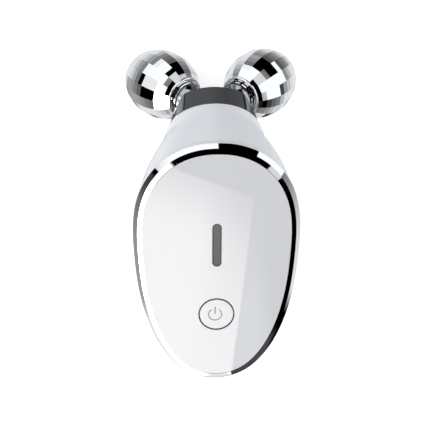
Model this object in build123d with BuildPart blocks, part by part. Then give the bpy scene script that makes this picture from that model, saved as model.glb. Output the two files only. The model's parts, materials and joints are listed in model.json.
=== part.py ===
from build123d import *
from math import copysign, cos, pi, radians, sin, sqrt, tan
import os

# Facial toning device: an egg-shaped handpiece that lies in the palm, whose neck carries two
# faceted massage balls on splayed axles. It rests on its balls and on the flat of its underside.
# Frame: +Z up, +Y towards the head, +X to the device's right, origin on the resting flat.
# Lengths are in millimetres and angles in degrees.

# ---------------------------------------------------------------- driving dimensions

# How the deck lies
deck_tilt = 28.0
deck_height = 39.2          # height of the deck's widest chord
deck_forward = 30.1         # that chord's distance ahead of the origin

# Deck outline, measured from its widest chord, over the trim ring
deck_half_width = 30.45
deck_head = 34.2
deck_tail = 63.4
egg_power = 2.2             # 2 would make the outline two half ellipses

# Trim ring: a nearly flat facet round the plate and a steep facet outside it
ring_flat = 1.6
ring_flat_drop = 0.25
ring_bevel = 1.6
ring_head_bevel = 1.15      # the steep facet narrows round the head
ring_bevel_drop = 2.15
plate_gap = 0.15            # between plate and ring
frame_band = 2.6            # height of the frame's visible band under the ring
frame_ledge = 8.0           # from the outline in to the frame's opening
spigot_depth = 3.0
spigot_wall = 1.5
fit = 0.1                   # clearance between parts that are pushed together by hand

# Housing
wall = 2.0
neck_slope = 35.0           # the neck's axis below the horizontal
rim_forward = 68.15         # the neck rim's widest chord, ahead of the origin
rim_height = 29.2
rim_half_width = 17.0
rim_up = 15.0               # from that chord to the rim's top
rim_down = 12.0             # and to its underside
rim_power = 2.0
floor_share = 2.2           # how much more the hollow is drawn in at its floor, which lies slanting
flat_sag = 1.0              # how far the belly would reach below its resting flat

# Power button and its switch
button_back = 34.15         # behind the deck's widest chord
button_radius = 6.29
button_gap = 0.4
button_edge = 0.25          # rounding of the button's rim and of the plate's openings
button_flange = 1.4
button_flange_height = 0.8
button_travel = 0.3
stem_radius = 1.6
switch_width = 6.0
switch_height = 3.1

# Indicator
window_length = 17.4
window_width = 3.3
window_back = 5.25
window_lip = 1.2
window_recess = 0.15
led_size = 1.6
led_height = 0.8
led_pitch = 5.0

# Circuit board, cell and contacts
board_drop = 7.8            # from the deck to the board's top
board_thickness = 1.2
board_inset = 6.5
battery_width = 26.0
battery_length = 44.0
battery_height = 7.5
battery_back = 12.0
pad_thickness = 0.5
screw_radius = 1.0
screw_head_radius = 2.1
screw_head_height = 1.2
screw_length = 11.0
ear_radius = 3.4
screw_inboard = 2.0         # from the edge of the frame's opening in to a screw
front_screw_back = -2.0
screw_behind_battery = 4.0
contact_radius = 1.5
contact_flange = 0.8        # width and thickness of the flange inside the housing
contact_recess = 0.3
contact_side = 4.0
contact_back = 1.6
wire_radius = 0.6

# Axles: they cross inside the head and splay from there
axle_splay = 38.9           # each axle's angle from the middle plane
axle_pitch = 54.1           # slope of the plane that holds both axles
axle_crossing = 73.8        # the crossing point's distance ahead of the origin
axle_radius = 2.5
axle_start = 6.0            # distances along an axle are from the crossing point
axle_end = 38.6

# Massage balls: faceted, longer along the axle than across it
ball_distance = 29.65       # from the crossing point to a ball's middle
ball_radius = 12.72
ball_half_length = 15.9
facet_columns = 18
facet_rows = 18
facet_step = 7.6            # latitude covered by one row of facets
first_latitude = -52.3
left_spin = 2.1             # how far each ball happens to have rolled
right_spin = 16.4
ball_wall = 2.3
socket_end = 42.0
hub_radius = 6.3
hub_bore = 4.3
bush_length = 5.0
outer_bush_start = 32.0
running_clearance = 0.03

# Head block and cheeks
head_length = 8.5           # from the neck's rim to the block's front
head_inset = 0.4
head_spigot = 5.0
cheek_start = 9.9           # from the crossing point to the cheek's face
cheek_seam = 11.3           # half width of the dark block where its seams meet the rim
cheek_seam_lean = 15.0
cheek_seam_taper = 6.0      # the seams draw together towards the front
boss_root_radius = 5.0
boss_waist = 0.5            # how deep the boss's flare is hollowed
boss_tip_radius = 6.2
stub_radius = 3.4
pocket_half_width = 7.0
pocket_height = 8.0
pocket_floor = 2.2

# Rings between cheek and ball
spacer_length = 0.7
spacer_radius = 6.3
washer_length = 0.4
washer_radius = 5.4
collar_thickness = 0.8
collar_lip = 0.4            # in front of the seal
collar_radius = 8.0
collar_round = 0.7          # rounding of the collar's outer rim
collar_spigot = 2.0
end_clearance = 0.08
seal_radius = 3.7
seal_length = 1.5
clip_radius = 3.9
clip_thickness = 0.6
groove_depth = 0.5

SIDES = {"left": -1, "right": 1}

# ---------------------------------------------------------------- planes and points

tilt = radians(deck_tilt)
slope = radians(neck_slope)
splay = radians(axle_splay)
pitch = radians(axle_pitch)

ring_height = ring_flat_drop + ring_bevel_drop
ring_width = ring_flat + ring_bevel
housing_top = ring_height + frame_band
deck_plane = Plane(
    origin=(0, deck_forward, deck_height), x_dir=(1, 0, 0), z_dir=(0, -sin(tilt), cos(tilt))
)


def deck_point(back, drop):
    """A point of the middle plane, given behind the deck's widest chord and below the deck."""
    return deck_plane.from_local_coords(Vector(0, -back, -drop))


def station_plane(top, widest):
    """A plane across the housing, its y axis running from the widest chord up to the top line."""
    up = (top - widest).normalized()
    return Plane(origin=widest, x_dir=(1, 0, 0), z_dir=Vector(1, 0, 0).cross(up))


def blend(start, end, share):
    return start + (end - start) * share


# The neck's rim, and the frame of the head block that continues it
neck_direction = Vector(0, cos(slope), -sin(slope))
rim_up_direction = Vector(0, sin(slope), cos(slope))
rim_middle = Vector(0, rim_forward, rim_height)
rim_top = rim_middle + rim_up_direction * rim_up
rim_bottom = rim_middle - rim_up_direction * rim_down
rim_plane = station_plane(rim_top, rim_middle)

# Ball and axle frames. A ball touches the ground below its middle, which sets the axles' height.
axle_fall = cos(splay) * sin(pitch)
ball_height = sqrt((ball_half_length * axle_fall) ** 2 + ball_radius**2 * (1 - axle_fall**2))
crossing_point = Vector(0, axle_crossing, ball_height + ball_distance * axle_fall)


def axle_direction(side):
    return Vector(side * sin(splay), cos(splay) * cos(pitch), -axle_fall)


def axle_plane(side, distance=0.0):
    """The plane square to an axle, at a distance from the crossing point. Its x axis is level."""
    along = axle_direction(side)
    level = along.cross(Vector(0, 0, 1)).normalized()
    return Plane(origin=crossing_point + along * distance, x_dir=level, z_dir=along)


def turned(side, *outline):
    """A face beside an axle, to be revolved about it. Points are (distance along, radius)."""
    across = axle_plane(side)
    along = axle_direction(side)
    with BuildSketch(Plane(origin=crossing_point, x_dir=along, z_dir=along.cross(across.x_dir))) as face:
        with BuildLine():
            Polyline(*outline, close=True)
        make_face()
    return face.sketch


def ellipse_beside(side, distance, half_length, radius):
    """Half an ellipse beside an axle, to be revolved about it."""
    across = axle_plane(side)
    along = axle_direction(side)
    middle = crossing_point + along * distance
    with BuildSketch(Plane(origin=middle, x_dir=along, z_dir=along.cross(across.x_dir))) as face:
        Ellipse(half_length, radius)
        Rectangle(2 * half_length, radius, align=(Align.CENTER, Align.MIN), mode=Mode.INTERSECT)
    return face.sketch


def tube_outline(start, end, inner, outer):
    return (start, inner), (end, inner), (end, outer), (start, outer)


def axle_axis(side):
    return Axis(crossing_point, axle_direction(side))


# ---------------------------------------------------------------- outlines


def egg(half_width, head, tail, power, steps=28):
    """Points of an egg: two half superellipses that share the widest chord, on the x axis."""
    points = []
    for step in range(steps):
        angle = 2 * pi * (step + 0.5) / steps
        x = half_width * copysign(abs(sin(angle)) ** (2 / power), sin(angle))
        y = copysign(abs(cos(angle)) ** (2 / power), cos(angle))
        points.append((x, y * (head if y > 0 else tail)))
    return points


def egg_face(plane, half_width, head, tail, power=egg_power):
    with BuildSketch(plane) as face:
        with BuildLine():
            Spline(*egg(half_width, head, tail, power), periodic=True)
        make_face()
    return face.sketch


def deck_egg(inset, drop, head_inset=None):
    """The deck's outline, drawn in by an inset, below the deck by a drop."""
    head = deck_head - (inset if head_inset is None else head_inset)
    return egg_face(deck_plane.offset(-drop), deck_half_width - inset, head, deck_tail - inset)


def rim_egg(inset, forward):
    """The neck rim's outline, drawn in by an inset, carried forward along the neck."""
    plane = Plane(origin=rim_middle + neck_direction * forward, x_dir=(1, 0, 0), z_dir=rim_plane.z_dir)
    down = rim_down - inset * floor_share
    return egg_face(plane, rim_half_width - inset, rim_up - inset, down, rim_power)


# Housing stations between the deck and the rim. Each is a share of the way along the top line,
# a point of the belly line, a share of the way from the rim's width out to the deck's, and how
# far along the side line its widest chord lies.
housing_head = deck_point(-deck_head, housing_top)
housing_tail = deck_point(deck_tail, housing_top)
side_start = deck_point(0, housing_top)


class Station:
    def __init__(self, top_share, belly_share, belly_rise, width_share, side_share):
        self.top = blend(housing_head, rim_top, top_share)
        belly_y = blend(housing_tail.Y, rim_bottom.Y, belly_share)
        self.belly = Vector(0, belly_y, blend(-flat_sag, rim_bottom.Z, belly_rise))
        self.half_width = blend(rim_half_width, deck_half_width, width_share)
        self.power = blend(egg_power, rim_power, side_share)
        side_y = blend(side_start.Y, rim_middle.Y, side_share)
        share = (self.top.Y - side_y) / (self.top.Y - self.belly.Y)
        self.widest = blend(self.top, self.belly, share)

    def face(self, inset):
        """The section of the housing, or of its hollow when drawn in by the wall."""
        return egg_face(
            station_plane(self.top, self.widest),
            self.half_width - inset,
            (self.top - self.widest).length - inset,
            (self.belly - self.widest).length - inset * floor_share,
            self.power,
        )


stations = [
    Station(0.25, 0.075, 0.02, 0.88, 0.13),
    Station(0.50, 0.31, 0.0, 0.71, 0.33),
    Station(0.72, 0.575, 0.10, 0.45, 0.54),
    Station(0.88, 0.80, 0.54, 0.17, 0.82),
]


def housing_form(inset):
    """The housing's outer form, or its hollow, lofted from the deck to the rim of the neck."""
    with BuildPart() as form:
        loft([deck_egg(inset, housing_top), *[s.face(inset) for s in stations], rim_egg(inset, 0)])
    return form.part


def screw_side(back):
    """How far from the middle plane a screw is, just inside the frame's opening."""
    reach = (deck_tail if back > 0 else deck_head) - frame_ledge
    share = abs(back / reach) ** egg_power
    return (deck_half_width - frame_ledge) * (1 - share) ** (1 / egg_power) - screw_inboard


screw_backs = (front_screw_back, battery_back + battery_length / 2 + screw_behind_battery)
screw_points = [(side * screw_side(back), -back) for back in screw_backs for side in SIDES.values()]
contact_points = [(side * contact_side, -contact_back) for side in SIDES.values()]


def keep(builder, name):
    """Labels a finished piece and writes it to its own file."""
    builder.part.label = name
    export_step(builder.part, f"parts/{name}.step")


os.makedirs("parts", exist_ok=True)

# ---------------------------------------------------------------- housing

boss_top = board_drop + board_thickness
screw_foot = ring_height + fit + screw_length

with BuildPart() as boss_columns:
    with BuildSketch(deck_plane.offset(-boss_top)):
        with Locations(*screw_points):
            Circle(ear_radius)
    extrude(amount=-deck_height)
    add(housing_form(wall / 2), mode=Mode.INTERSECT)

with BuildPart() as hollow:
    add(housing_form(wall))
    split(bisect_by=Plane.XY.offset(wall), keep=Keep.TOP)

with BuildPart() as housing:
    add(housing_form(0))
    add(hollow.part, mode=Mode.SUBTRACT)
    add(boss_columns.part)
    with BuildSketch(deck_plane.offset(-boss_top)):
        with Locations(*screw_points):
            Circle(screw_radius)
    extrude(amount=boss_top - screw_foot - fit, mode=Mode.SUBTRACT)
    split(bisect_by=Plane.XY, keep=Keep.TOP)
    with BuildSketch(Plane.XY):
        with Locations(*contact_points):
            Circle(contact_radius + fit)
    extrude(amount=wall * 2, mode=Mode.SUBTRACT)
keep(housing, "housing")

# ---------------------------------------------------------------- deck: frame, ring and plate

with BuildPart() as cover_frame:
    add(housing_form(wall + fit))
    add(housing_form(wall + fit + spigot_wall), mode=Mode.SUBTRACT)
    split(bisect_by=deck_plane.offset(-housing_top - spigot_depth), keep=Keep.TOP)
    extrude(deck_egg(0, housing_top), amount=frame_band)
    extrude(deck_egg(frame_ledge, housing_top), amount=frame_band, mode=Mode.SUBTRACT)
    with BuildSketch(deck_plane.offset(-board_drop)):
        with Locations(*screw_points):
            Circle(ear_radius)
    extrude(amount=board_drop - ring_height)
    with BuildSketch(deck_plane.offset(-board_drop)):
        with Locations(*screw_points):
            Circle(screw_radius + fit)
    extrude(amount=board_drop - ring_height, mode=Mode.SUBTRACT)
    with BuildSketch(deck_plane.offset(-ring_height)):
        with Locations(*screw_points):
            Circle(screw_head_radius + fit)
    extrude(amount=-screw_head_height - fit, mode=Mode.SUBTRACT)
keep(cover_frame, "cover_frame")

with BuildPart() as trim_ring:
    crest = deck_egg(ring_bevel, ring_flat_drop, ring_head_bevel)
    loft([deck_egg(0, ring_height), crest], ruled=True)
    loft([crest, deck_egg(ring_width, 0)], ruled=True)
    extrude(deck_egg(ring_width, 0), amount=-ring_height, mode=Mode.SUBTRACT)
keep(trim_ring, "trim_ring")



def deck_face(builder):
    """The face of a piece that lies highest above the deck."""
    return builder.faces().sort_by(Axis(deck_plane.origin, deck_plane.z_dir))[-1]


with BuildPart() as top_cover:
    extrude(deck_egg(ring_width + plate_gap, ring_height), amount=ring_height)
    with BuildSketch(deck_plane):
        with Locations((0, -button_back)):
            Circle(button_radius + button_gap)
        with Locations((0, -window_back)):
            SlotOverall(window_length, window_width, rotation=90)
    extrude(amount=-ring_height, mode=Mode.SUBTRACT)
    for opening in deck_face(top_cover).inner_wires():
        fillet(opening.edges(), button_edge)
keep(top_cover, "top_cover")

# ---------------------------------------------------------------- button and switch

flange_top = ring_height + fit
flange_bottom = flange_top + button_flange_height
stem_bottom = board_drop - switch_height - button_travel - fit / 2

with BuildPart() as power_button:
    with BuildSketch(deck_plane):
        with Locations((0, -button_back)):
            Circle(button_radius)
    extrude(amount=-flange_bottom)
    with BuildSketch(deck_plane.offset(-flange_top)):
        with Locations((0, -button_back)):
            Circle(button_radius + button_flange)
    extrude(amount=-button_flange_height)
    with BuildSketch(deck_plane.offset(-flange_bottom)):
        with Locations((0, -button_back)):
            Circle(stem_radius)
    extrude(amount=flange_bottom - stem_bottom)
    fillet(deck_face(power_button).edges(), button_edge)
keep(power_button, "power_button")

with BuildPart() as button_switch:
    with BuildSketch(deck_plane.offset(-board_drop)):
        with Locations((0, -button_back)):
            Rectangle(switch_width, switch_width)
    extrude(amount=switch_height)
keep(button_switch, "button_switch")

# ---------------------------------------------------------------- indicator

window_foot = board_drop - led_height - button_travel

with BuildPart() as indicator_window:
    with BuildSketch(deck_plane.offset(-window_recess)):
        with Locations((0, -window_back)):
            SlotOverall(window_length - fit, window_width - fit, rotation=90)
    extrude(amount=window_recess - ring_height)
    with BuildSketch(deck_plane.offset(-ring_height)):
        with Locations((0, -window_back)):
            SlotOverall(window_length + 2 * window_lip, window_width + 2 * window_lip, rotation=90)
    extrude(amount=-window_lip)
    with BuildSketch(deck_plane.offset(-ring_height - window_lip)):
        with Locations((0, -window_back)):
            SlotOverall(window_length - window_lip, window_width - 2 * fit, rotation=90)
    extrude(amount=ring_height + window_lip - window_foot)
keep(indicator_window, "indicator_window")

with BuildPart() as indicator_leds:
    with BuildSketch(deck_plane.offset(-board_drop)):
        with Locations(*[(0, step - window_back) for step in (-led_pitch, 0, led_pitch)]):
            Rectangle(led_size, led_size)
    extrude(amount=led_height)
keep(indicator_leds, "indicator_leds")

# ---------------------------------------------------------------- board, cell, screws

with BuildPart() as circuit_board:
    extrude(deck_egg(board_inset, boss_top), amount=board_thickness)
    with BuildSketch(deck_plane.offset(-boss_top)):
        with Locations(*screw_points):
            Circle(screw_radius + fit)
    extrude(amount=board_thickness, mode=Mode.SUBTRACT)
keep(circuit_board, "circuit_board")

with BuildPart() as battery_pad:
    with BuildSketch(deck_plane.offset(-boss_top)):
        with Locations((0, -battery_back)):
            Rectangle(battery_width - wall, battery_length - wall)
    extrude(amount=-pad_thickness)
keep(battery_pad, "battery_pad")

with BuildPart() as battery:
    with BuildSketch(deck_plane.offset(-boss_top - pad_thickness)):
        with Locations((0, -battery_back)):
            RectangleRounded(battery_width, battery_length, wall)
    extrude(amount=-battery_height)
    fillet(battery.edges().filter_by(Axis.X), wall)
keep(battery, "battery")

with BuildPart() as cover_screws:
    with BuildSketch(deck_plane.offset(-ring_height - fit)):
        with Locations(*screw_points):
            Circle(screw_head_radius)
    extrude(amount=-screw_head_height)
    with BuildSketch(deck_plane.offset(-ring_height - fit)):
        with Locations(*screw_points):
            Circle(screw_radius - running_clearance)
    extrude(amount=-screw_length)
keep(cover_screws, "cover_screws")

# ---------------------------------------------------------------- charging contacts

contact_top = wall + contact_flange

with BuildPart() as charging_contacts:
    with BuildSketch(Plane.XY.offset(contact_recess)):
        with Locations(*contact_points):
            Circle(contact_radius)
    extrude(amount=wall - contact_recess)
    with BuildSketch(Plane.XY.offset(wall)):
        with Locations(*contact_points):
            Circle(contact_radius + contact_flange)
    extrude(amount=contact_flange)
keep(charging_contacts, "charging_contacts")

board_above_contacts = deck_height - boss_top / cos(tilt) - (deck_forward + contact_back) * tan(tilt)

with BuildPart() as charging_leads:
    with BuildSketch(Plane.XY.offset(contact_top)):
        with Locations(*contact_points):
            Circle(wire_radius)
    extrude(amount=board_above_contacts - contact_top - wire_radius)
keep(charging_leads, "charging_leads")

# ---------------------------------------------------------------- head block and cheeks


def head_form(inset, back, front):
    """The neck's section carried forward and cut off square to both axles."""
    with BuildPart() as form:
        extrude(rim_egg(inset, back), amount=back - front)
        for side in SIDES.values():
            split(bisect_by=axle_plane(side, cheek_start), keep=Keep.BOTTOM)
    return form.part


def seam_plane(side):
    """The plane between the dark block and a cheek: through the seam's top, leaning inwards."""
    lean = radians(cheek_seam_lean)
    taper = radians(cheek_seam_taper)
    out = Vector(side * cos(lean), 0, 0) - rim_up_direction * sin(lean) + neck_direction * tan(taper)
    seam_height = rim_up * (1 - (cheek_seam / rim_half_width) ** rim_power) ** (1 / rim_power)
    top = rim_middle + Vector(side * cheek_seam, 0, 0) + rim_up_direction * seam_height
    return Plane(origin=top, z_dir=out)


def boss_flare(side):
    """The cheek's boss outside the block, hollowed like a trumpet, as a face beside its axle."""
    across = axle_plane(side)
    root, tip = (cheek_start, boss_root_radius), (boss_end, boss_tip_radius)
    waist = ((root[0] + tip[0]) / 2, (root[1] + tip[1]) / 2 - boss_waist)
    with BuildSketch(Plane(origin=crossing_point, x_dir=across.z_dir, z_dir=across.z_dir.cross(across.x_dir))) as face:
        with BuildLine():
            ThreePointArc(root, waist, tip)
            Polyline(tip, (boss_end, 0), (cheek_start, 0), root)
        make_face()
    return face.sketch


mouth = ball_distance + ball_half_length * sin(radians(first_latitude))
collar_start = mouth - collar_thickness
spacer_end = collar_start - end_clearance - washer_length
boss_end = spacer_end - spacer_length

spigot_plane = Plane(rim_middle - neck_direction * head_spigot, x_dir=(1, 0, 0), z_dir=neck_direction)

stub_rise = (crossing_point + axle_direction(1) * axle_start - rim_middle).dot(rim_up_direction)

with BuildPart() as neck_spigot:
    add(housing_form(wall + fit))
    split(bisect_by=spigot_plane, keep=Keep.TOP)

with BuildPart() as head_core:
    add(head_form(head_inset, 0, head_length))
    add(neck_spigot.part)
    for side in SIDES.values():
        split(bisect_by=seam_plane(side), keep=Keep.BOTTOM)
    with BuildSketch(spigot_plane):
        with Locations((0, -stub_rise)):
            Rectangle(2 * pocket_half_width, pocket_height)
    extrude(amount=head_spigot + head_length - pocket_floor, mode=Mode.SUBTRACT)
    for side in SIDES.values():
        revolve(
            turned(side, *tube_outline(axle_start, cheek_start, 0, stub_radius + fit / 2)),
            axis=axle_axis(side),
            mode=Mode.SUBTRACT,
        )
keep(head_core, "head_core")

for side_name, side in SIDES.items():
    with BuildPart() as cheek:
        add(head_form(head_inset, fit, head_length))
        split(bisect_by=seam_plane(side).offset(fit / 2), keep=Keep.TOP)
        revolve(turned(side, *tube_outline(axle_start, cheek_start, 0, stub_radius)), axis=axle_axis(side))
        revolve(boss_flare(side), axis=axle_axis(side))
        revolve(
            turned(side, *tube_outline(axle_start, boss_end, 0, axle_radius)),
            axis=axle_axis(side),
            mode=Mode.SUBTRACT,
        )
    keep(cheek, f"cheek_{side_name}")

# ---------------------------------------------------------------- axles, rings and balls

washer_end = spacer_end + washer_length
bush_starts = {"inner_bush": mouth + collar_spigot + end_clearance, "outer_bush": outer_bush_start}
clip_start = outer_bush_start + bush_length + 4 * end_clearance
seal_start = collar_start + collar_lip


def ball_plane(side, latitude):
    return axle_plane(side, ball_distance + ball_half_length * sin(radians(latitude)))


for side_name, side in SIDES.items():
    axis = axle_axis(side)

    with BuildPart() as axle:
        revolve(turned(side, *tube_outline(axle_start, axle_end, 0, axle_radius - running_clearance)), axis=axis)
        revolve(
            turned(side, *tube_outline(clip_start, clip_start + clip_thickness,
                                       axle_radius - groove_depth, axle_radius)),
            axis=axis,
            mode=Mode.SUBTRACT,
        )
    keep(axle, f"axle_{side_name}")

    with BuildPart() as spacer:
        revolve(turned(side, *tube_outline(boss_end, spacer_end, axle_radius, spacer_radius)), axis=axis)
    keep(spacer, f"spacer_{side_name}")

    with BuildPart() as washer:
        revolve(turned(side, *tube_outline(spacer_end, washer_end, axle_radius, washer_radius)), axis=axis)
    keep(washer, f"washer_{side_name}")

    with BuildPart() as collar:
        revolve(
            turned(
                side,
                (collar_start, axle_radius + fit),
                (collar_start, collar_radius),
                (mouth, collar_radius),
                (mouth, hub_radius),
                (mouth + collar_spigot, hub_radius),
                (mouth + collar_spigot, seal_radius),
                (seal_start, seal_radius),
                (seal_start, axle_radius + fit),
            ),
            axis=axis,
        )
        fillet(collar.faces().sort_by(axis)[0].outer_wire().edges(), collar_round)
    keep(collar, f"collar_{side_name}")

    with BuildPart() as seal:
        revolve(
            turned(side, *tube_outline(seal_start, seal_start + seal_length,
                                       axle_radius + running_clearance, seal_radius)),
            axis=axis,
        )
    keep(seal, f"seal_{side_name}")

    with BuildPart() as ball:
        sections = []
        for row in range(facet_rows + 1):
            latitude = first_latitude + row * facet_step
            with BuildSketch(ball_plane(side, latitude)) as section:
                RegularPolygon(
                    ball_radius * cos(radians(latitude)),
                    facet_columns,
                    rotation=left_spin if side < 0 else right_spin,
                )
            sections.append(section.sketch)
        loft(sections, ruled=True)
        revolve(
            ellipse_beside(side, ball_distance, ball_half_length - ball_wall, ball_radius - ball_wall),
            axis=axis,
            mode=Mode.SUBTRACT,
        )
        revolve(
            turned(side, *tube_outline(mouth, socket_end, 0, hub_radius + running_clearance)),
            axis=axis,
            mode=Mode.SUBTRACT,
        )
    keep(ball, f"ball_{side_name}")

    with BuildPart() as hub:
        revolve(
            turned(side, *tube_outline(mouth + collar_spigot, socket_end, hub_bore, hub_radius)),
            axis=axis,
        )
    keep(hub, f"hub_{side_name}")

    for bush_name, bush_start in bush_starts.items():
        with BuildPart() as bush:
            revolve(
                turned(side, *tube_outline(bush_start, bush_start + bush_length, axle_radius, hub_bore)),
                axis=axis,
            )
        keep(bush, f"{bush_name}_{side_name}")

    with BuildPart() as clip:
        revolve(
            turned(side, *tube_outline(clip_start, clip_start + clip_thickness,
                                       axle_radius - groove_depth, clip_radius)),
            axis=axis,
        )
    keep(clip, f"clip_{side_name}")

# ---------------------------------------------------------------- leads from the board to the cheeks

for side_name, side in SIDES.items():
    along = axle_direction(side)
    back_across = (along * along.dot(neck_direction) - neck_direction).normalized()
    board_end = deck_point(board_inset - deck_head + wall, boss_top + wire_radius)
    stub_end = crossing_point + along * axle_start + back_across * (stub_radius - wire_radius)
    before_stub = stub_end - along * stub_radius
    before_pocket = before_stub - neck_direction * (head_spigot + wall)
    route_points = (board_end + Vector(side * contact_side, 0, 0), before_pocket, before_stub, stub_end)
    with BuildPart() as lead:
        with BuildLine() as route:
            FilletPolyline(*route_points, radius=2 * wire_radius)
        with BuildSketch(Plane(origin=route.line @ 0, z_dir=route.line % 0)):
            Circle(wire_radius)
        sweep()
    keep(lead, f"lead_{side_name}")
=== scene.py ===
import json
from math import pi, radians

import bpy
from bpy.props import FloatProperty, FloatVectorProperty, PointerProperty
from bpy.types import Operator, Panel, PropertyGroup
from mathutils import Matrix, Vector


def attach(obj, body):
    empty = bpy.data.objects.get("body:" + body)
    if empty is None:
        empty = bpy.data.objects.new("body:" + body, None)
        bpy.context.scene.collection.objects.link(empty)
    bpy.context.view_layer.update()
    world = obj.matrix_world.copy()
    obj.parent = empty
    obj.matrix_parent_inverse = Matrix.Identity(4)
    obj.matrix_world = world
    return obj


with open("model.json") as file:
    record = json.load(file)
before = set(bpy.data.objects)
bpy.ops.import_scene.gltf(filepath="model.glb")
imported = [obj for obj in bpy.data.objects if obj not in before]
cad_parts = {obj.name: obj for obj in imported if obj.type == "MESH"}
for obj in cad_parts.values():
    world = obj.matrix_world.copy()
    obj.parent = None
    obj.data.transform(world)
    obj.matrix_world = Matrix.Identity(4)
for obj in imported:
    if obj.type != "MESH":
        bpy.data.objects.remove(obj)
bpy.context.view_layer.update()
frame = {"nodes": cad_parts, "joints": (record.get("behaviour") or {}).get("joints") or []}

bl_info = {
    "name": "Facial toning device",
    "version": (1, 0, 0),
    "blender": (4, 5, 0),
    "location": "3D View > Sidebar > Toning device",
    "description": "Finishes the toning device's pieces and sets it on a pale studio floor",
    "category": "Object",
}

SIDES = ("left", "right")
MILLIMETRES = 1000  # in a metre
DEGREES = 180 / pi  # in a radian
LEVEL_WITHIN = 1e-5  # metres by which the corners of a level face may differ


def joint_named(name):
    return next(joint for joint in frame["joints"] if joint["name"] == name)


# The button travels square to the deck, into it
DECK_UP = -Vector(joint_named("power_button_press")["axis"])
ACROSS = Vector((1, 0, 0))
DECK_FORWARD = DECK_UP.cross(ACROSS)


def deck_level(node):
    """How far the node's highest face lies along the deck's normal."""
    return max(vertex.co.dot(DECK_UP) for vertex in frame["nodes"][node].data.vertices)


def deck_face(node):
    """The corners of the node's highest face."""
    lowest = deck_level(node) - LEVEL_WITHIN
    return [v.co for v in frame["nodes"][node].data.vertices if v.co.dot(DECK_UP) > lowest]


def deck_middle(node):
    """The middle of the node's highest face."""
    face = deck_face(node)
    middle = sum(face, Vector()) / len(face)
    return middle + DECK_UP * (deck_level(node) - middle.dot(DECK_UP))


# ---------------------------------------------------------------- shader building


class Signal:
    """A node's output that adds Math nodes when it is used in an expression."""

    def __init__(self, finish, socket):
        self.finish, self.socket = finish, socket

    def beside(self, output):
        """Another output of the same node."""
        return Signal(self.finish, self.socket.node.outputs[output])

    def __add__(self, other):
        return self.finish.maths("ADD", self, other)

    def __sub__(self, other):
        return self.finish.maths("SUBTRACT", self, other)

    def __rsub__(self, other):
        return self.finish.maths("SUBTRACT", other, self)

    def __mul__(self, other):
        return self.finish.maths("MULTIPLY", self, other)

    __radd__, __rmul__ = __add__, __mul__

    def __abs__(self):
        return self.finish.maths("ABSOLUTE", self)

    def lowest(self, other):
        return self.finish.maths("MINIMUM", self, other)

    def highest(self, other):
        return self.finish.maths("MAXIMUM", self, other)

    def ramp(self, low, high):
        """Low where the signal is 0, high where it is 1."""
        return self * (high - low) + low

    def spread(self, start, end, low, high):
        """Eases from low to high while the signal goes from start to end."""
        return self.finish.add(
            "ShaderNodeMapRange",
            {"interpolation_type": "SMOOTHSTEP"},
            {"Value": self, "From Min": start, "From Max": end, "To Min": low, "To Max": high},
        )

    def above(self, edge, softness):
        """0 below the edge and 1 above it, with a smooth step between."""
        return self.spread(edge - softness, edge + softness, 0, 1)

    def between(self, low, high, softness):
        """1 from low to high and 0 outside them, with smooth steps between."""
        return self.above(low, softness) * (1 - self.above(high, softness))


class Finish:
    """A material, or the world, built from procedural nodes."""

    def __init__(self, owner):
        owner.use_nodes = True
        self.owner, self.tree = owner, owner.node_tree
        self.tree.nodes.clear()

    def add(self, kind, settings=None, inputs=None, output=0):
        """Adds a node, sets it up and returns one of its outputs."""
        node = self.tree.nodes.new(kind)
        for name, value in (settings or {}).items():
            setattr(node, name, value)
        for key, value in (inputs or {}).items():
            if isinstance(value, Signal):
                self.tree.links.new(value.socket, node.inputs[key])
            else:
                node.inputs[key].default_value = value
        return Signal(self, node.outputs[output])

    def maths(self, operation, first, second=0.0):
        return self.add("ShaderNodeMath", {"operation": operation}, {0: first, 1: second})

    def dot(self, first, second):
        return self.add(
            "ShaderNodeVectorMath",
            {"operation": "DOT_PRODUCT"},
            {0: first, 1: second},
            output="Value",
        )

    def place(self):
        """Object coordinates in millimetres."""
        where = self.add("ShaderNodeTexCoord", output="Object")
        return self.add("ShaderNodeMapping", inputs={"Vector": where, "Scale": (MILLIMETRES,) * 3})

    def along(self, direction, start):
        """Millimetres from the start along a direction, both given in metres."""
        return self.dot(self.place(), direction) - start.dot(direction) * MILLIMETRES

    def turned_away(self):
        """0 where the surface faces the eye, 1 where it is seen side on."""
        return self.add("ShaderNodeLayerWeight", inputs={"Blend": 0.5}, output="Facing")

    def noise(self, size, detail=2.0, stretch=(1, 1, 1)):
        """Soft noise whose patches are about size millimetres wide."""
        where = self.add("ShaderNodeMapping", inputs={"Vector": self.place(), "Scale": stretch})
        return self.add(
            "ShaderNodeTexNoise", inputs={"Vector": where, "Scale": 1 / size, "Detail": detail}
        )

    def mix(self, factor, first, second):
        """First where the factor is 0, second where it is 1; both are colours or signals."""
        return self.add(
            "ShaderNodeMix",
            {"data_type": "RGBA"},
            {"Factor": factor, "A": first, "B": second},
            output="Result",
        )

    def bump(self, height, strength, distance):
        return self.add(
            "ShaderNodeBump", inputs={"Height": height, "Strength": strength, "Distance": distance}
        )

    def surface(self, **sockets):
        """Ends in a Principled shader; the spaces in its sockets' names are underscores here."""
        inputs = {name.replace("_", " "): value for name, value in sockets.items()}
        self.finish_with(self.add("ShaderNodeBsdfPrincipled", inputs=inputs))

    def finish_with(self, shader, kind="ShaderNodeOutputMaterial"):
        self.tree.links.new(shader.socket, self.tree.nodes.new(kind).inputs["Surface"])


def opaque(colour, share=1.0):
    """A colour as a socket value, each channel times the given share."""
    return (*(channel * share for channel in colour), 1.0)


def new_finish(name):
    return Finish(bpy.data.materials.new(name))


def give(finish, *nodes):
    """Puts a finish on carried-over nodes."""
    for name in nodes:
        node = frame["nodes"][name]
        node.data.materials.clear()
        node.data.materials.append(finish.owner)


# ---------------------------------------------------------------- finishes

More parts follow.
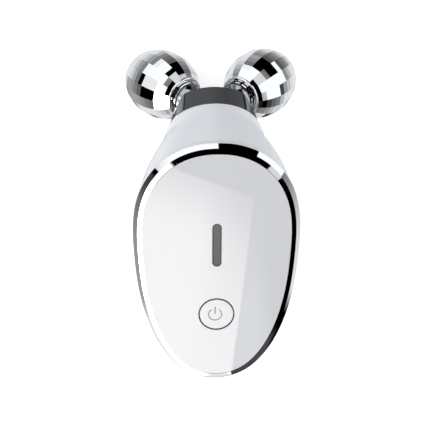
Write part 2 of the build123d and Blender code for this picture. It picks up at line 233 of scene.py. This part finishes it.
# The painted shade in the seam round the deck plate, in millimetres and as a share of its white
SEAM_DEPTH, SEAM_SOFTNESS, SEAM_SHADE = 0.12, 0.07, 0.06
# How far a painted sheen lifts the shell's white where it turns away
PAINTED_SHEEN_LIFT = 1.1
# What stays of the plating's tint under the painted shade along its edges and rims
PAINTED_EDGE_SHADE = 0.04

# Colours of the pieces inside
MASK_GREEN, TRACK_GREEN = (0.012, 0.12, 0.045), (0.03, 0.22, 0.09)
CREASED_FOIL, SMOOTH_FOIL = (0.55, 0.57, 0.6), (0.68, 0.7, 0.73)
LENS_YELLOW, LENS_PALE = (0.85, 0.83, 0.66), (0.95, 0.93, 0.8)
FOAM_GREY = (0.09, 0.09, 0.09)
ZINC = (0.62, 0.62, 0.63)
GOLD = (0.83, 0.62, 0.27)
WIRE_RED = (0.42, 0.03, 0.025)
STEEL = (0.64, 0.64, 0.65)
BRONZE = (0.62, 0.42, 0.2)
SEAL_BLACK = (0.035, 0.035, 0.035)


def gloss_moulding(name, colour, gloss, ripple, seam_level=None):
    """Glossy moulded plastic: a faint flow in the colour, a breath of unevenness in the gloss.

    Below the seam level, its side walls are darkened with painted shade in the seam. Where
    there is no seam level, a painted sheen lifts its white a little where it turns away."""
    finish = new_finish(name)
    flow = finish.noise(14, 2.0)
    haze = finish.noise(3.5, 3.0)
    tone = finish.mix(flow, opaque(colour, 0.985), opaque(colour))
    if seam_level is not None:
        depth = finish.along(DECK_UP, DECK_UP * seam_level) * -1
        # Painted shade: the side walls below the seam level are darkened as the seam's shade would
        # darken them
        painted_seam_shade = depth.above(SEAM_DEPTH, SEAM_SOFTNESS)
        tone = finish.mix(painted_seam_shade, tone, opaque(colour, SEAM_SHADE))
    else:
        # Painted sheen: the white is lifted where the surface turns away from the eye
        turned = finish.turned_away().spread(0.2, 0.55, 0, 1)
        tone = finish.mix(turned, tone, opaque(colour, PAINTED_SHEEN_LIFT))
    finish.surface(
        Base_Color=tone,
        Roughness=haze.ramp(gloss * 0.8, gloss * 1.25),
        IOR=1.5,
        Normal=finish.bump(finish.noise(6, 1.0), ripple, 0.0002),
    )
    return finish


def wiped(finish, gloss):
    """The roughness of polished plating, with the faintest wipe marks."""
    return finish.noise(1.6, 4.0, stretch=(1, 1, 0.25)).ramp(gloss * 0.5, gloss * 1.5)


def mirror_plating(name, colour, gloss):
    """Polished chrome, barely clouded."""
    finish = new_finish(name)
    cloud = finish.noise(6, 2.0)
    finish.surface(
        Base_Color=finish.mix(cloud, opaque(colour, 0.97), opaque(colour)),
        Metallic=1.0,
        Roughness=wiped(finish, gloss),
    )
    return finish


def edged_plating(name, colour, gloss, rounding):
    """Chrome whose edges are rounded by polishing, with painted shade along its edges and rims."""
    finish = new_finish(name)
    rounded = finish.add("ShaderNodeBevel", {"samples": 8}, {"Radius": rounding})
    flat = finish.add("ShaderNodeNewGeometry", output="Normal")
    # Painted shade along the edges, where the rounded normal leaves the flat one, and at the rims
    # seen side on
    edge = (1 - finish.dot(rounded, flat)).spread(0.0, 0.1, 0, 1)
    painted_dark_rim = finish.turned_away().spread(0.48, 0.6, 0, 1)
    finish.surface(
        Base_Color=finish.mix(edge.highest(painted_dark_rim), opaque(colour), opaque(colour, PAINTED_EDGE_SHADE)),
        Metallic=1.0,
        Roughness=wiped(finish, gloss),
        Normal=rounded,
    )
    return finish


def satin_moulding(name, colour, gloss):
    """Satin plastic from an eroded mould: a fine even grain."""
    finish = new_finish(name)
    grain = finish.noise(0.12, 3.0)
    flow = finish.noise(7, 2.0)
    finish.surface(
        Base_Color=finish.mix(flow, opaque(colour, 0.92), opaque(colour, 1.06)),
        Roughness=grain.ramp(gloss - 0.06, gloss + 0.06),
        Normal=finish.bump(grain, 0.15, 0.00003),
    )
    return finish


def speckled_metal(name, colour, gloss, grain_size):
    """Sintered or ground metal, with its grain in colour and gloss."""
    finish = new_finish(name)
    grain = finish.noise(grain_size, 4.0)
    finish.surface(
        Base_Color=finish.mix(grain, opaque(colour, 0.85), opaque(colour)),
        Metallic=1.0,
        Roughness=grain.ramp(gloss - 0.08, gloss + 0.08),
        Normal=finish.bump(grain, 0.08, 0.00002),
    )
    return finish


def dull_rubber(name, colour, gloss, grain_size):
    """Rubber, foam or wire insulation."""
    finish = new_finish(name)
    grain = finish.noise(grain_size, 3.0)
    finish.surface(
        Base_Color=finish.mix(grain, opaque(colour, 0.85), opaque(colour, 1.1)),
        Roughness=grain.ramp(gloss - 0.05, gloss + 0.05),
        Normal=finish.bump(grain, 0.3, 0.00005),
    )
    return finish


def smoked_guide(name, colour, node):
    """Smoked grey, lightest down its middle and at its head end, with painted shade where it meets
    the plate.
    """
    finish = new_finish(name)
    cloud = finish.noise(2.5, 2.0)
    middle = deck_middle(node)
    corners = [corner - middle for corner in deck_face(node)]
    half_width = max(corner.dot(ACROSS) for corner in corners) * MILLIMETRES
    half_length = max(corner.dot(DECK_FORWARD) for corner in corners) * MILLIMETRES
    # The window's outline is a slot with round ends: off_axis is 0 on its centre line
    across, forward = finish.along(ACROSS, middle), finish.along(DECK_FORWARD, middle)
    past = (abs(forward) - (half_length - half_width)).highest(0)
    off_axis = finish.maths("SQRT", across * across + past * past)
    inwards = (off_axis * -1 + half_width) * (1 / half_width)
    # The dark band round its rim is painted shade from the walls of its recess
    tone = inwards.above(0.22, 0.16) * 0.55 + forward * (0.1 / half_length) + cloud * 0.1 + 0.02
    finish.surface(
        Base_Color=finish.mix(tone, opaque(colour, 0.3), opaque(colour, 1.5)),
        Roughness=cloud.ramp(0.5, 0.6),
    )
    return finish


def clear_lens(name):
    """The lamps' clear bodies, a little yellow."""
    finish = new_finish(name)
    finish.surface(
        Base_Color=finish.mix(finish.noise(0.4), opaque(LENS_YELLOW), opaque(LENS_PALE)),
        Roughness=finish.noise(0.3).ramp(0.06, 0.14),
    )
    return finish


def solder_mask(name):
    """Green lacquer over copper tracks."""
    finish = new_finish(name)
    weave = finish.noise(0.5, 2.0)
    tracks = finish.add(
        "ShaderNodeTexVoronoi",
        {"feature": "DISTANCE_TO_EDGE"},
        {"Vector": finish.place(), "Scale": 0.45},
    )
    copper = 1 - tracks.above(0.06, 0.01)
    finish.surface(
        Base_Color=finish.mix(copper, opaque(MASK_GREEN), opaque(TRACK_GREEN)),
        Roughness=weave.ramp(0.28, 0.4),
        Normal=finish.bump(copper, 0.2, 0.00003),
    )
    return finish


def foil_pouch(name):
    """The cell's creased aluminium pouch."""
    finish = new_finish(name)
    crease = finish.noise(5, 4.0)
    finish.surface(
        Base_Color=finish.mix(crease, opaque(CREASED_FOIL), opaque(SMOOTH_FOIL)),
        Metallic=0.9,
        Roughness=crease.ramp(0.25, 0.4),
        Normal=finish.bump(crease, 0.3, 0.0003),
    )
    return finish


def sign_ink(name, colour):
    """Printed ink, a little uneven."""
    finish = new_finish(name)
    dots = finish.noise(0.15, 2.0)
    finish.surface(
        Base_Color=finish.mix(dots, opaque(colour, 0.9), opaque(colour, 1.1)),
        Roughness=dots.ramp(0.35, 0.5),
    )
    return finish


# ---------------------------------------------------------------- modelling helpers


def select_only(piece):
    bpy.ops.object.select_all(action="DESELECT")
    piece.select_set(True)
    bpy.context.view_layer.objects.active = piece


def settle(piece, name, body, finish):
    """Applies the piece's place, gives it its finish and lets it ride its body."""
    piece.name = piece.data.name = name
    select_only(piece)
    bpy.ops.object.transform_apply(location=True, rotation=True, scale=True)
    piece.data.materials.clear()
    piece.data.materials.append(finish.owner)
    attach(piece, body)


# ---------------------------------------------------------------- settings


def length(name, description, default):
    return FloatProperty(
        name=name,
        description=description,
        default=default,
        min=0,
        subtype="DISTANCE",
        unit="LENGTH",
    )


def colour(name, description, default):
    return FloatVectorProperty(
        name=name,
        description=description,
        default=default,
        size=3,
        min=0,
        max=1,
        subtype="COLOR",
    )


def share(name, description, default, top=1.0):
    return FloatProperty(
        name=name,
        description=description,
        default=default,
        min=0,
        max=top,
        subtype="FACTOR",
    )


class FinishSettings(PropertyGroup):
    """Colours and gloss of the pieces."""

    shell: colour("Shell", "White of the housing", (0.83, 0.845, 0.875))
    shell_gloss: share("Shell gloss", "Roughness of the housing", 0.2)
    plate: colour("Plate", "White of the deck plate and button", (0.755, 0.757, 0.775))
    plate_gloss: share("Plate gloss", "Roughness of the deck plate and button", 0.012)
    chrome: colour("Chrome", "Tint of the plating", (0.93, 0.94, 0.95))
    chrome_gloss: share("Chrome gloss", "Roughness of the plating", 0.02)
    cheek: colour("Cheek chrome", "Tint of the plating on the cheeks", (0.45, 0.46, 0.47))
    cheek_gloss: share("Cheek gloss", "Roughness of the plating on the cheeks", 0.04)
    cheek_rounding: length("Cheek rounding", "Radius of the cheeks' polished edges", 0.0014)
    core: colour("Core", "Grey of the insulating head block", (0.062, 0.062, 0.066))
    core_gloss: share("Core gloss", "Roughness of the head block", 0.45)
    window: colour("Window", "Grey of the light guide", (0.1, 0.1, 0.105))
    mark: colour("Mark", "Print colour of the power sign", (0.3, 0.27, 0.25))


class MarkSettings(PropertyGroup):
    """Sizes of the printed power sign."""

    radius: length("Radius", "Radius of the sign's arc, to the middle of its line", 0.00245)
    line: length("Line", "Width of the printed line", 0.00042)
    film: length("Film", "Thickness of the print", 0.00002)
    gap: FloatProperty(
        name="Gap",
        description="Opening at the top of the arc",
        default=radians(70),
        subtype="ANGLE",
        unit="ROTATION",
    )


class StageSettings(PropertyGroup):
    """Camera, floor and light."""

    focal: FloatProperty(
        name="Focal length",
        description="Camera lens in millimetres",
        default=118.95,
        min=1,
        unit="CAMERA",
    )
    soft_level: share("Soft level", "Even light from all round", 0.55, 4)
    panel_level: share("Panel level", "Brightness of the big panel as gloss shows it", 7.2, 20)
    lamp_power: FloatProperty(
        name="Lamp",
        description="Power of the overhead lamp",
        default=1.85,
        min=0,
        unit="POWER",
    )
    floor_size: length("Floor", "Width of the floor", 6.0)


# ---------------------------------------------------------------- the pieces


class TONER_OT_shell(Operator):
    """Finish the glossy white housing, frame, deck plate and button"""

    bl_idname = "toner.shell"
    bl_label = "White shell"

    def execute(self, context):
        wanted = context.scene.toner_finish
        shell = gloss_moulding("gloss_white_shell", wanted.shell, wanted.shell_gloss, ripple=0.02)
        give(shell, "housing", "cover_frame")
        plate = gloss_moulding(
            "gloss_white_plate",
            wanted.plate,
            wanted.plate_gloss,
            ripple=0.001,
            seam_level=deck_level("top_cover"),
        )
        give(plate, "top_cover", "power_button")
        return {"FINISHED"}


class TONER_OT_chrome(Operator):
    """Finish the trim ring, cheeks, collars, spacers and faceted balls in chrome"""

    bl_idname = "toner.chrome"
    bl_label = "Chrome"

    def execute(self, context):
        wanted = context.scene.toner_finish
        plating = mirror_plating("mirror_chrome", wanted.chrome, wanted.chrome_gloss)
        cheeks = edged_plating(
            "edged_chrome", wanted.cheek, wanted.cheek_gloss, wanted.cheek_rounding
        )
        give(plating, "trim_ring")
        for side in SIDES:
            give(cheeks, f"cheek_{side}")
            give(plating, f"collar_{side}", f"spacer_{side}", f"ball_{side}")
        return {"FINISHED"}


class TONER_OT_head(Operator):
    """Finish the insulating head block, the washers, the hubs and the button's switch"""

    bl_idname = "toner.head"
    bl_label = "Head block"

    def execute(self, context):
        wanted = context.scene.toner_finish
        satin = satin_moulding("satin_dark_plastic", wanted.core, wanted.core_gloss)
        give(satin, "head_core", "button_switch")
        for side in SIDES:
            give(satin, f"washer_{side}", f"hub_{side}")
        return {"FINISHED"}


class TONER_OT_window(Operator):
    """Finish the smoked light guide in the deck and the lamps under it"""

    bl_idname = "toner.window"
    bl_label = "Indicator window"

    def execute(self, context):
        smoked = smoked_guide(
            "smoked_window", context.scene.toner_finish.window, "indicator_window"
        )
        give(smoked, "indicator_window")
        give(clear_lens("clear_lens"), "indicator_leds")
        return {"FINISHED"}


class TONER_OT_works(Operator):
    """Finish the board, cell, foam, contacts, leads, axles, bushes, seals, clips and screws"""

    bl_idname = "toner.works"
    bl_label = "Inside works"

    def execute(self, context):
        give(solder_mask("solder_mask"), "circuit_board")
        give(foil_pouch("foil_pouch"), "battery")
        give(dull_rubber("foam_tape", FOAM_GREY, 0.9, 0.4), "battery_pad")
        give(speckled_metal("zinc_screws", ZINC, 0.3, 0.3), "cover_screws")
        give(speckled_metal("gold_contacts", GOLD, 0.18, 0.5), "charging_contacts")
        insulation = dull_rubber("red_insulation", WIRE_RED, 0.45, 0.6)
        give(insulation, "charging_leads", "lead_left", "lead_right")
        ground = speckled_metal("ground_steel", STEEL, 0.22, 0.25)
        bronze = speckled_metal("sintered_bronze", BRONZE, 0.42, 0.15)
        rubber = dull_rubber("seal_rubber", SEAL_BLACK, 0.6, 0.3)
        for side in SIDES:
            give(ground, f"axle_{side}", f"clip_{side}")
            give(bronze, f"inner_bush_{side}", f"outer_bush_{side}")
            give(rubber, f"seal_{side}")
        return {"FINISHED"}


# The sign's bar, as shares of its arc's radius
BAR_MIDDLE, BAR_LENGTH = 0.72, 1.25
# The steps that its arc turns in, and the metres within which corners merge
ARC_STEPS, MERGE_WITHIN = 56, 1e-7


def open_arc(sizes):
    """A thin arc in the ground plane, with its gap centred on +Y."""
    bpy.ops.object.select_all(action="DESELECT")
    bpy.ops.mesh.primitive_plane_add(
        size=1, location=(sizes.radius, 0, sizes.film / 2), rotation=(pi / 2, 0, 0)
    )
    arc = bpy.context.object
    arc.scale = (sizes.line, sizes.film, 1)
    bpy.ops.object.transform_apply(location=True, rotation=True, scale=True)
    bpy.ops.object.mode_set(mode="EDIT")
    bpy.ops.mesh.select_all(action="SELECT")
    turn = 2 * pi - sizes.gap
    bpy.ops.mesh.spin(steps=ARC_STEPS, angle=turn, center=(0, 0, 0), axis=(0, 0, 1))
    bpy.ops.mesh.select_all(action="SELECT")
    bpy.ops.mesh.remove_doubles(threshold=MERGE_WITHIN)
    bpy.ops.mesh.normals_make_consistent(inside=False)
    bpy.ops.object.mode_set(mode="OBJECT")
    # The middle of the line is turned to -Y, which leaves the gap at +Y
    mid = sum((v.co for v in arc.data.vertices), Vector()) / len(arc.data.vertices)
    turn_back = -pi / 2 - mid.to_2d().angle_signed(Vector((1, 0)))
    arc.data.transform(Matrix.Rotation(turn_back, 4, "Z"))
    return arc


def gap_bar(sizes):
    """The thin bar that stands in the arc's gap."""
    bpy.ops.object.select_all(action="DESELECT")
    bpy.ops.mesh.primitive_cube_add(
        size=1, location=(0, sizes.radius * BAR_MIDDLE, sizes.film / 2)
    )
    bar = bpy.context.object
    bar.scale = (sizes.line, sizes.radius * BAR_LENGTH, sizes.film)
    bpy.ops.object.transform_apply(location=True, rotation=True, scale=True)
    return bar


class TONER_OT_power_mark(Operator):
    """Print the power sign on the button: an open arc with a bar in its gap"""

    bl_idname = "toner.power_mark"
    bl_label = "Power sign"

    def execute(self, context):
        sizes = context.scene.toner_mark
        mark = open_arc(sizes)
        gap_bar(sizes)
        mark.select_set(True)
        context.view_layer.objects.active = mark
        bpy.ops.object.join()
        turned = Matrix((ACROSS, DECK_FORWARD, DECK_UP)).transposed().to_4x4()
        mark.matrix_world = Matrix.Translation(deck_middle("power_button")) @ turned
        ink = sign_ink("sign_ink", context.scene.toner_finish.mark)
        settle(mark, "power_mark", "button", ink)
        return {"FINISHED"}


# ---------------------------------------------------------------- the stage

# Panels that gloss shows: bearings from and to with the softness of their ends, then falls from
# and to with theirs. Bearings are degrees anticlockwise from +X, falls degrees from straight up.
PANES = {
    "low_right": ((-82.5, -69, 1.5), (69.5, 79, 1.5)),
    "sky_gap": ((-75, -60, 0.3), (43.8, 47.3, 0.15)),
    "east": ((-47, 41.2, 1.5), (24, 88, 1.5)),
    "east_low": ((15, 46, 0.3), (76, 93.5, 0.5)),
    "north": ((86.2, 156, 0.3), (17.5, 87, 3.0)),
    "upper_north_east": ((40, 86.2, 1.0), (14, 45.5, 1.0)),
    "south_west": ((-180, -142, 0.5), (24, 66, 1.0)),
}
WHITE = (1, 1, 1, 1)
PANEL_TINT, ROOM_TINT = (1, 0.955, 0.92, 1), (0.965, 0.98, 1, 1)
# Matt surfaces get light from both sides, a little more of it from the left, and a rest all round
SIDE_LIGHT, LEFT_LEAN, REST_LIGHT = 4.0, 0.05, 0.02

PAPER_COLOUR, PAPER_GLOW = (0.8, 0.8, 0.8, 1), 0.6

LAMP_PLACE, LAMP_AIM, LAMP_SIZE = Vector((-0.12, -0.1, 0.7)), Vector((0, 0.02, 0)), 0.5

# The camera looks almost straight down, and its lean sets the deck a little below the middle
CAMERA_PLACE = Vector((-0.02465, 0.0206, 0.5534))
CAMERA_RIGHT, CAMERA_TOP = Vector((0.99873, -0.0180, 0.0471)), Vector((0.0180, 0.99984, 0.0009))
LEAN_ABOUT_RIGHT, LEAN_ABOUT_TOP = radians(1.766), radians(0.06)
SENSOR_WIDTH = 36


def seen_directly(path):
    """1 for rays that show the stage itself: the camera's, and those through clear pieces."""
    return path.beside("Is Camera Ray").highest(path.beside("Is Transmission Ray"))


def big_panel(bearing, fall):
    """The warm panel on the near side: its outline, how it fades, and the shade on its foot."""
    left, highest, lowest = -143, 41, 93
    # Its top is level as far as a bearing of about -99, drops steeply to -89 and then gently
    gentle_slope, gentle_start, steep_slope, steep_start = 0.33, 81.6, 1.06, 146.4
    under_top = fall - bearing * gentle_slope - gentle_start
    under_corner = fall - bearing * steep_slope
    top = under_corner.above(steep_start, 0.06).highest(under_top.above(0, 0.06))
    # Its right side leans in down to a fall of 61, and steps out below a fall of 70
    right, lean, lean_end, step, step_start = 72.26, 0.232, 61, 4, 70
    inside = (bearing + fall.lowest(lean_end) * lean) * -1 - right
    right_side = (inside + fall.above(step_start, 3) * step).above(0, 0.03)
    outline = bearing.above(left, 0.5) * right_side * fall.between(highest, lowest, 0.3) * top
    # The right part of its foot is in shade
    shade_start, shade_depth = -96, 0.885
    foot = 1 - bearing.above(shade_start, 3) * fall.spread(75.5, 78.4, 0, shade_depth)
    # It fades towards its right side, most of all high up, and towards its top, but not low down
    side_level = fall.spread(52, 61, 0.33, 0.9)
    fade = inside.spread(-0.3, 3.1, 0, 1) * (1 - side_level) + side_level
    fade = fade * under_top.spread(-1.2, 2.8, 0.2, 1) * fall.spread(54, 60, 0.94, 1.03)
    fade = fade.highest(fall.above(74, 2)) * foot
    return outline, fade, foot


def shaded_table(bearing, fall):
    """How bright gloss shows the table: it falls into shade away from the device and at flags."""
    # It is dim at the horizon, bright closer by and dark right under the device
    glow = fall.spread(90, 133, 0.24, 0.84) * fall.spread(156, 168, 1, 0.35)
    # Two flags shade it, most of all far out
    flagged = bearing.between(-94, -30, 8) + bearing.between(36, 92, 4)
    past_flags = 1 - flagged * fall.spread(118, 145, 0.6, 0.08)
    # So does the room's dark west, whose near edge slants
    slope, slope_start = 0.6, 108
    near_edge = bearing * -1 - (fall - slope_start) * slope
    western = bearing.above(163, 3) + near_edge.spread(128, 140, 0, 1)
    past_west = 1 - western * fall.spread(90, 102, 0.8, 0.53)
    # A narrow band of shade runs down from the right
    band_slope, band_start = 0.83, 110.4
    off_band = abs(fall + bearing * band_slope - band_start)
    band = bearing.between(-68.5, -27, 3) * off_band.spread(3, 5, 1, 0)
    return glow * (1 - band) * past_flags * past_west


def studio_surround(world, soft_level, panel_level):
    """White panels with black flags between them for gloss, an even level for everything else."""
    sky = Finish(world)
    direction = sky.add("ShaderNodeTexCoord", output="Generated")
    x = sky.add("ShaderNodeSeparateXYZ", inputs={"Vector": direction}, output="X")
    bearing = sky.maths("ARCTAN2", x.beside("Y"), x) * DEGREES
    fall = sky.maths("ARCCOSINE", x.beside("Z")) * DEGREES

    panel, fade, foot = big_panel(bearing, fall)
    # A dimmer strip stands along the panel's right side
    strip_end, strip_level = 84.1, 0.9
    strip = (bearing * -1 - strip_end).highest(0).lowest(strip_level)
    strip = strip * bearing.above(-92, 0.2) * fall.between(56, 93, 2.5)
    panes = {
        name: bearing.between(*bearings) * fall.between(*falls)
        for name, (bearings, falls) in PANES.items()
    }
    west = abs(bearing).above(161, 1.0) * fall.between(25, 76, 1.5)
    # Each is multiplied by its brightness, where 1 shows as white
    above = (
        panel * fade * panel_level
        + strip * (1 - panel) * 2
        + panes["low_right"] * 0.07
        + (panes["sky_gap"] + panes["upper_north_east"]) * 0.75
        + panes["east"].highest(panes["east_low"]) * 1.1
        + panes["north"] * fall.spread(76, 86, 1.1, 0.8)
        + west * 0.9
        + panes["south_west"] * 1.1
    )

    # The table starts a little below the horizon, and higher from north to west
    table_start, table_lift = 93, 5
    table = (fall + bearing.between(84, 180, 2) * table_lift).above(table_start, 2.0)
    table = table * (1 - panes["east_low"]) * (1 - panes["north"])
    seen = above * (1 - table) + shaded_table(bearing, fall) * table

    lean, sides = 1 - x * LEFT_LEAN, x * x * SIDE_LIGHT + REST_LIGHT

    path = sky.add("ShaderNodeLightPath")
    direct = 1 - path.beside("Diffuse Depth").above(0.5, 0.1)
    to_camera = seen_directly(path)
    mirror = path.beside("Is Glossy Ray") * direct
    level = seen * mirror + (1 - mirror) * lean * sides * soft_level
    level = to_camera + (1 - to_camera) * level
    # The big panel is a little warm, the room around it a little cool
    tint = sky.mix(mirror * panel * foot, ROOM_TINT, PANEL_TINT)
    tint = sky.mix(to_camera, tint, WHITE)
    shader = sky.add("ShaderNodeBackground", inputs={"Color": tint, "Strength": level})
    sky.finish_with(shader, "ShaderNodeOutputWorld")
    world.cycles.sampling_method = "NONE"


def floor_paper(name):
    """White where it is seen directly, with the device's shade; clear to gloss and from below."""
    paper = new_finish(name)
    path = paper.add("ShaderNodeLightPath")
    under = paper.add("ShaderNodeNewGeometry", output="Backfacing")
    matt = paper.add("ShaderNodeBsdfDiffuse", inputs={"Color": PAPER_COLOUR})
    lit = paper.add("ShaderNodeEmission", inputs={"Color": WHITE, "Strength": PAPER_GLOW})
    both = paper.add("ShaderNodeAddShader", inputs={0: matt, 1: lit})
    seen = paper.add("ShaderNodeMixShader", inputs={0: seen_directly(path), 1: matt, 2: both})
    clear = paper.add("ShaderNodeBsdfTransparent")
    unseen = path.beside("Is Glossy Ray").highest(under)
    paper.finish_with(paper.add("ShaderNodeMixShader", inputs={0: unseen, 1: seen, 2: clear}))
    return paper


class TONER_OT_stage(Operator):
    """Set up the pale floor, the soft light and the camera"""

    bl_idname = "toner.stage"
    bl_label = "Studio"

    def execute(self, context):
        wanted = context.scene.toner_stage
        scene = context.scene
        scene.view_settings.view_transform = "Standard"

        scene.world = bpy.data.worlds.new("studio")
        studio_surround(scene.world, wanted.soft_level, wanted.panel_level)

        bpy.ops.object.select_all(action="DESELECT")
        bpy.ops.mesh.primitive_plane_add(size=wanted.floor_size, location=(0, 0, 0))
        floor = context.object
        floor.name = "floor"
        floor.data.materials.append(floor_paper("floor_paper").owner)

        lamp = bpy.data.lights.new("overhead", "AREA")
        lamp.shape, lamp.size, lamp.energy = "DISK", LAMP_SIZE, wanted.lamp_power
        overhead = bpy.data.objects.new("overhead", lamp)
        scene.collection.objects.link(overhead)
        overhead.location = LAMP_PLACE
        overhead.rotation_euler = (LAMP_PLACE - LAMP_AIM).to_track_quat("Z", "Y").to_euler()
        overhead.visible_glossy = overhead.visible_camera = False

        lens = bpy.data.cameras.new("camera")
        lens.lens, lens.sensor_width = wanted.focal, SENSOR_WIDTH
        camera = bpy.data.objects.new("camera", lens)
        scene.collection.objects.link(camera)
        tipped = Matrix.Rotation(LEAN_ABOUT_RIGHT, 3, CAMERA_RIGHT)
        turned = Matrix.Rotation(LEAN_ABOUT_TOP, 3, CAMERA_TOP)
        axes = Matrix((CAMERA_RIGHT, CAMERA_TOP, CAMERA_RIGHT.cross(CAMERA_TOP))).transposed()
        basis = tipped @ turned @ axes
        camera.matrix_world = Matrix.Translation(CAMERA_PLACE) @ basis.to_4x4()
        scene.camera = camera
        return {"FINISHED"}


class TONER_PT_sidebar(Panel):
    """Settings and buttons for the device's pieces and its stage"""

    bl_idname = "TONER_PT_sidebar"
    bl_label = "Toning device"
    bl_space_type = "VIEW_3D"
    bl_region_type = "UI"
    bl_category = "Toning device"

    def draw(self, context):
        for setting in SETTINGS:
            group = getattr(context.scene, setting)
            box = self.layout.box()
            for name in group.bl_rna.properties.keys():
                if name not in ("name", "rna_type"):
                    box.prop(group, name)
        for operator in OPERATORS:
            self.layout.operator(operator.bl_idname)


OPERATORS = (
    TONER_OT_shell,
    TONER_OT_chrome,
    TONER_OT_head,
    TONER_OT_window,
    TONER_OT_works,
    TONER_OT_power_mark,
    TONER_OT_stage,
)
SETTINGS = {
    "toner_finish": FinishSettings,
    "toner_mark": MarkSettings,
    "toner_stage": StageSettings,
}


def register():
    for name, group in SETTINGS.items():
        bpy.utils.register_class(group)
        setattr(bpy.types.Scene, name, PointerProperty(type=group))
    for listed in (*OPERATORS, TONER_PT_sidebar):
        bpy.utils.register_class(listed)


def unregister():
    for listed in (TONER_PT_sidebar, *reversed(OPERATORS)):
        bpy.utils.unregister_class(listed)
    for name, group in SETTINGS.items():
        delattr(bpy.types.Scene, name)
        bpy.utils.unregister_class(group)


def main():
    register()
    bpy.ops.toner.shell()
    bpy.ops.toner.chrome()
    bpy.ops.toner.head()
    bpy.ops.toner.window()
    bpy.ops.toner.works()
    bpy.ops.toner.power_mark()
    bpy.ops.toner.stage()


if __name__ == "__main__":
    main()
